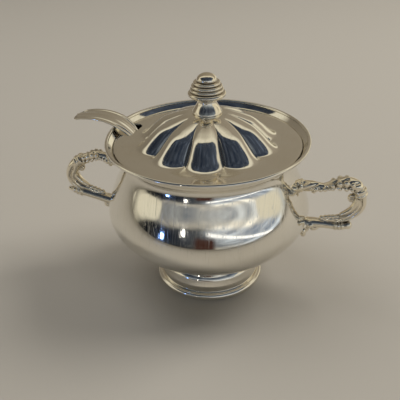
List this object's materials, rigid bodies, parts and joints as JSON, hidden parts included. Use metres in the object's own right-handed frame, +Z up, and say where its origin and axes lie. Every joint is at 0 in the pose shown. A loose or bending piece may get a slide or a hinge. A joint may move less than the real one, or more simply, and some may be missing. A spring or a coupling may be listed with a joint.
{
  "type": "sauce pot",
  "caption": "Footed silver-plate sauce pot with a flared lip, scroll handles, a fluted lid with a turned finial, and a ladle that leaves through a notch in the lid.",
  "frame": {"origin": "on the pot's own axis, at the surface the foot ring stands on", "axes": "+Z up along the pot's axis; +X through the right handle, the longest way across; the ladle leaves over the rim near -X"},
  "size_m": [0.2205, 0.1436, 0.1572],
  "materials": {
    "spun_plate": "mirror-polished silver plate, warm white, with fine wiping scratches",
    "cast_plate": "polished silver plate on castings, with brown tarnish in the recesses",
    "fixing_brass": "unplated turned brass"
  },
  "bodies": {
    "pot": {"bowl": "spun_plate", "rim_wire": "spun_plate", "foot": "spun_plate", "foot_ring": "spun_plate", "handle_right": "cast_plate", "handle_left": "cast_plate"},
    "lid": {"lid_cover": "spun_plate", "lid_bezel": "spun_plate", "finial": "cast_plate", "finial_washer": "fixing_brass", "finial_nut": "fixing_brass"},
    "ladle": {"ladle": "spun_plate"}
  },
  "joints": [
    {"name": "lid_lift", "type": "slide", "parent": "pot", "child": "lid", "axis": [0, 0, 1], "range_m": [0, 0.22]},
    {"name": "ladle_lift", "type": "slide", "parent": "pot", "child": "ladle", "axis": [0, 0, 1], "range_m": [0, 0.11]}
  ],
  "couplings": [
    {"joint": "ladle_lift", "follows": "lid_lift", "ratio": 0.5}
  ]
}
